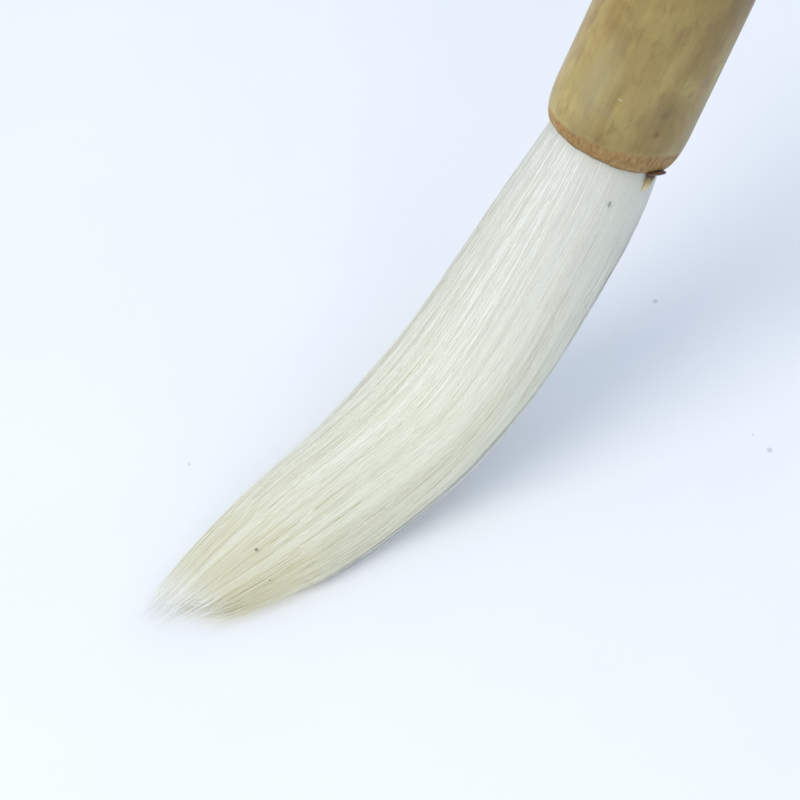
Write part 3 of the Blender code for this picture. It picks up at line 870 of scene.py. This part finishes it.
def undercoat_piece():
    """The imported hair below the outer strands: one closed surface with a fine comb of
    furrows, from the butt in the socket to where the tip thins out."""
    nu, nv = 360, 150
    s = np.concatenate([np.linspace(-14.9, -0.5, 26), np.linspace(0.0, 51.0, nv - 26)])
    phi = np.linspace(0, 2 * math.pi, nu, endpoint=False)
    S, P = np.meshgrid(s, phi, indexing="ij")
    comb = 0.020 * np.sin(90 * P + 6 * np.sin(S / 9.0)) + 0.014 * np.sin(131 * P + 1.0 + S / 7.0)
    inset = 0.05 + 0.10 * np.clip(S / 8.0, 0, 1)
    out = np.where(S > 0, ridge(P, S) * 0.9 - inset + comb * np.clip(S / 5, 0, 1), -0.03)
    close = np.clip((S - 44.0) / 7.0, 0, 1)
    share = 1.0 - 0.45 * close**1.6
    p, _ = tuft_point(P, S, out * (1 - 0.5 * close), share)
    p = keep_off_floor(p, 0.06)
    index = np.arange(len(s) * nu).reshape(len(s), nu)
    a, b = index[:-1], index[1:]
    quads = np.stack([a, b, np.roll(b, -1, 1), np.roll(a, -1, 1)], -1).reshape(-1, 4)
    flat = p.reshape(-1, 3)
    butt, tip = len(flat), len(flat) + 1
    flat = np.concatenate([flat, [p[0].mean(0)], [p[-1].mean(0)]])
    fan = np.concatenate(
        [
            np.stack([index[0], np.roll(index[0], -1), np.full(nu, butt)], -1),
            np.stack([np.roll(index[-1], -1), index[-1], np.full(nu, tip)], -1),
        ]
    )
    faces = [quads[:, ::-1], fan[:, ::-1]]
    obj = mesh_object("hair_bundle", flat * MM + MOUTH, faces)
    point_attribute(obj, "along", np.concatenate([(S / 58.0).ravel(), [s[0] / 58.0, s[-1] / 58.0]]))
    around = np.stack([np.cos(P), np.sin(P), S / 58.0], -1).reshape(-1, 3)
    around = np.concatenate([around, [[0, 0, s[0] / 58.0], [0, 0, s[-1] / 58.0]]])
    point_attribute(obj, "around", around, "FLOAT_VECTOR")
    g = Graph("packed_goat_hair")
    along = g.attribute("along")
    where = g.attribute("around", "Vector")
    fine = g.noise(g.stretch(where, (46, 46, 2.2)), 1.0, 3.0, 0.6, 0.15)
    broad = g.noise(g.stretch(where, (9, 9, 1.1)), 1.0, 3.0, 0.55, 0.3)
    colour = g.ramp(
        along,
        [
            (0.00, (0.590, 0.580, 0.510)),
            (0.30, (0.660, 0.645, 0.540)),
            (0.55, (0.680, 0.650, 0.490)),
            (0.80, (0.680, 0.640, 0.440)),
            (1.00, (0.740, 0.720, 0.580)),
        ],
    )
    colour = g.mix(g.span(fine, 0.50, 0.76, 0.0, 0.55), colour, (0.620, 0.540, 0.320))
    colour = g.mix(g.math("MULTIPLY", g.span(broad, 0.50, 0.75, 0.0, 0.5), g.span(along, 0.2, 0.6)), colour, (0.640, 0.540, 0.320))
    colour = g.mix(g.span(fine, 0.44, 0.24, 0.0, 0.6), colour, (0.900, 0.890, 0.800))
    g.bump(fine, 0.5, 0.00012)
    wear(obj, g.finish(Base_Color=colour, Roughness=0.55, Specular_IOR_Level=0.25))
    return obj


bundle = undercoat_piece()
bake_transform(bundle)
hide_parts("mantle_root", "lining_root", "core_root", "tuft_lining", "tuft_core")

LAYERS = [
    # name, strands, points, slot, settings
    ("hair_inner_strands", 1500, 20, "hair_lining", hair_under_mat, dict(root=-1.5, depth_low=0.06, depth_high=0.16, drift=0.05, wave=0.004, wide=(0.095, 0.125), early=0.10, fade=(3.0, 2.2))),
    ("hair_mantle_a", 1500, 21, "hair", hair_mat, dict(root=-1.5, depth_low=0.03, depth_high=0.10, drift=0.05, wave=0.004, wide=(0.070, 0.105), early=0.10, fade=(1.8, 2.0))),
    ("hair_mantle_b", 1500, 21, "hair", hair_mat, dict(root=-1.5, depth_low=0.00, depth_high=0.06, drift=0.07, wave=0.006, wide=(0.055, 0.085), early=0.12, fade=(1.4, 1.8))),
    ("hair_top_strands", 1050, 28, "hair", hair_mat, dict(root=-1.0, depth_low=-0.05, depth_high=0.01, drift=0.18, wave=0.016, wide=(0.030, 0.056), early=0.25, gather=0.5, seed_tone=lambda n: rng.beta(2.6, 1.4, n))),
]
for name, count, k, slot_name, mat, how in LAYERS:
    piece = hair_piece(name, count, k, mat, slot_name, **how)
    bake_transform(piece)
    if name == "hair_mantle_a":
        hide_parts("tuft_mantle")
    # a fine hair lets most of the light through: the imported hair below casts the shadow
    piece.visible_shadow = False

strays = hair_piece(
    "hair_strays", 90, 34, hair_mat, "hair",
    root=-0.8, depth_low=-0.10, depth_high=0.0, drift=0.30, wave=0.035, wide=(0.022, 0.036), early=0.35, lift=0.75,
    seed_tone=lambda n: rng.uniform(0.6, 1.0, n),
)
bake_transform(strays)
strays.visible_shadow = False


def fleck_piece():
    """Three specks of dust caught in the hair."""
    verts, faces, start = [], [], 0
    for phi, s, size, length in ((-1.011, 3.72, 0.060, 0.22), (-0.326, 48.76, 0.10, 0.11), (-0.949, 49.45, 0.055, 0.07)):
        p, normal = tuft_point(np.array([phi]), np.array([s]), 0.10)
        q, _ = tuft_point(np.array([phi]), np.array([s + 0.5]), 0.10)
        along = (q[0] - p[0]) / np.linalg.norm(q[0] - p[0])
        side = np.cross(along, normal[0])
        side /= np.linalg.norm(side)
        rows, steps = 9, 12
        for i in range(rows):
            lat = math.pi * (i + 0.5) / rows
            for k in range(steps):
                lon = 2 * math.pi * k / steps
                lump = 1 + 0.18 * math.sin(3 * lon + 5 * lat) + 0.10 * math.sin(5 * lon + 1)
                a, b, c = math.cos(lat) * length, math.sin(lat) * math.cos(lon) * size, math.sin(lat) * math.sin(lon) * size * 0.8
                verts.append(p[0] + lump * (a * along + b * side + c * normal[0]))
        index = start + np.arange(rows * steps).reshape(rows, steps)
        u, v = index[:-1], index[1:]
        quads = np.stack([u, np.roll(u, -1, 1), np.roll(v, -1, 1), v], -1).reshape(-1, 4)
        faces.append(quads)
        verts += [p[0] + along * length * 1.02, p[0] - along * length * 1.02]
        top, tip = start + rows * steps, start + rows * steps + 1
        faces.append(np.stack([np.roll(index[0], -1), index[0], np.full(steps, top)], -1))
        faces.append(np.stack([index[-1], np.roll(index[-1], -1), np.full(steps, tip)], -1))
        start += rows * steps + 2
    faces.sort(key=lambda f: -f.shape[1])
    obj = mesh_object("hair_dust", np.array(verts) * MM + MOUTH, faces)
    g = Graph("dust_speck")
    p = g.own()
    grain = g.noise(p, 16.0, 3.0, 0.6)
    colour = g.mix(g.span(grain, 0.35, 0.65), (0.16, 0.17, 0.15), (0.34, 0.33, 0.28))
    g.bump(grain, 0.5, 0.00003)
    wear(obj, g.finish(Base_Color=colour, Roughness=0.8))
    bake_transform(obj)


fleck_piece()

# ------------------------------------------------------------------ floor, light, camera
CAMERA_AZ, CAMERA_EL, CAMERA_LENS = math.radians(-41.56), math.radians(50.29), 206.25
right = Vector((math.cos(CAMERA_AZ), math.sin(CAMERA_AZ), 0))
ahead = Vector((-math.sin(CAMERA_AZ), math.cos(CAMERA_AZ), 0))
SPECKS = [
    # on the table: mm to the right of the mouth, mm ahead of it, radius
    (5.2, 3.9, 0.36),
    (14.6, -13.3, 0.40),
    (-36.1, -14.9, 0.22),
    (13.2, -11.6, 0.16),
]


def floor_piece():
    """A white laminated table top: faint cloudy soiling and a few specks."""
    size = 3.0
    verts = np.array([(-size, -size, FLOOR_Z), (size, -size, FLOOR_Z), (size, size, FLOOR_Z), (-size, size, FLOOR_Z)])
    obj = mesh_object("table", verts, [np.array([[0, 1, 2, 3]])], smooth=False)
    g = Graph("table_top")
    p = g.own()
    cloud = g.noise(p, 0.05, 3.0, 0.5)
    grain = g.noise(p, 0.9, 2.0, 0.5)
    colour = g.mix(g.span(cloud, 0.3, 0.7), (0.858, 0.866, 0.872), (0.876, 0.880, 0.884))
    colour = g.mix(g.span(grain, 0.62, 0.80, 0.0, 0.25), colour, (0.840, 0.850, 0.862))
    for to_right, to_back, radius in SPECKS:
        spot = Vector(MOUTH) + (to_right * right + to_back * ahead) * MM
        mask = g.near(p, (spot.x / MM, spot.y / MM, FLOOR_Z / MM), radius, 0.8)
        colour = g.mix(g.math("MULTIPLY", mask, 0.55), colour, (0.42, 0.44, 0.48))
    obj.data.materials.append(g.finish(Base_Color=colour, Roughness=0.75, Specular_IOR_Level=0.15))
    # The handle stays where it is when the tuft bends, so the table rises and sinks to
    # stay just under the lowest hair: this point of the tuft's body moves up and down as
    # the lowest hair does.
    follow = bpy.data.objects.new("table_height", None)
    bpy.context.scene.collection.objects.link(follow)
    follow.location = Vector(MOUTH) + Vector((-0.028067, 0.0, 0.04747))
    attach(follow, "tuft")
    obj.location.z = -(MOUTH[2] + 0.04747)
    keep = obj.constraints.new("COPY_LOCATION")
    keep.target = follow
    keep.use_x, keep.use_y, keep.use_z = False, False, True
    keep.use_offset = True


floor_piece()

# Camera: the viewer looks down at about 50 degrees with a long lens.
forward = ahead * math.cos(CAMERA_EL) - Vector((0, 0, math.sin(CAMERA_EL)))
above = right.cross(forward)
camera_data = bpy.data.cameras.new("camera")
camera_data.lens = CAMERA_LENS
camera_data.sensor_width = 36.0
camera_data.clip_start = 0.02
camera = bpy.data.objects.new("camera", camera_data)
bpy.context.scene.collection.objects.link(camera)
place = Vector(MOUTH) + Vector((-0.18971, -0.18726, 0.28543))
camera.matrix_world = Matrix.Translation(place) @ Matrix(
    ((right.x, above.x, -forward.x, 0), (right.y, above.y, -forward.y, 0), (right.z, above.z, -forward.z, 0), (0, 0, 0, 1))
)
bpy.context.scene.camera = camera


def area(name, offset, size, power, colour, target=Vector((-0.02, 0, -0.01))):
    data = bpy.data.lights.new(name, "AREA")
    data.shape = "DISK"
    data.size = size
    data.energy = power
    data.color = colour
    obj = bpy.data.objects.new(name, data)
    bpy.context.scene.collection.objects.link(obj)
    obj.location = Vector(MOUTH) + offset
    obj.rotation_euler = (Vector(MOUTH) + target - obj.location).to_track_quat("-Z", "Y").to_euler()


up_z = Vector((0, 0, 1))
area("window", -0.37 * right - 0.21 * ahead + 0.50 * up_z, 0.45, 1.90, (1.0, 0.95, 0.82))
area("front_fill", 0.12 * right - 0.51 * ahead + 0.27 * up_z, 0.40, 0.46, (0.96, 0.98, 1.0))

world = bpy.data.worlds.new("studio")
bpy.context.scene.world = world
world.use_nodes = True
tree = world.node_tree
tree.nodes.clear()
output = tree.nodes.new("ShaderNodeOutputWorld")
rays = tree.nodes.new("ShaderNodeLightPath")
seen = tree.nodes.new("ShaderNodeBackground")
# seen from the side, the room behind the table is pale and lighter higher up
coords = tree.nodes.new("ShaderNodeTexCoord")
height = tree.nodes.new("ShaderNodeSeparateXYZ")
tree.links.new(coords.outputs["Generated"], height.inputs[0])
sky = tree.nodes.new("ShaderNodeValToRGB")
sky.color_ramp.elements[0].position = 0.0
sky.color_ramp.elements[0].color = (0.590, 0.665, 0.790, 1.0)
sky.color_ramp.elements[1].position = 0.45
sky.color_ramp.elements[1].color = (0.880, 0.938, 0.991, 1.0)
tree.links.new(height.outputs["Z"], sky.inputs[0])
tree.links.new(sky.outputs[0], seen.inputs["Color"])
lit = tree.nodes.new("ShaderNodeBackground")
lit.inputs["Color"].default_value = (0.785, 0.892, 1.090, 1.0)
lit.inputs["Strength"].default_value = 0.836
choose = tree.nodes.new("ShaderNodeMixShader")
tree.links.new(rays.outputs["Is Camera Ray"], choose.inputs[0])
tree.links.new(lit.outputs[0], choose.inputs[1])
tree.links.new(seen.outputs[0], choose.inputs[2])
tree.links.new(choose.outputs[0], output.inputs["Surface"])

bpy.context.scene.view_settings.view_transform = "Standard"
bpy.context.scene.view_settings.look = "None"
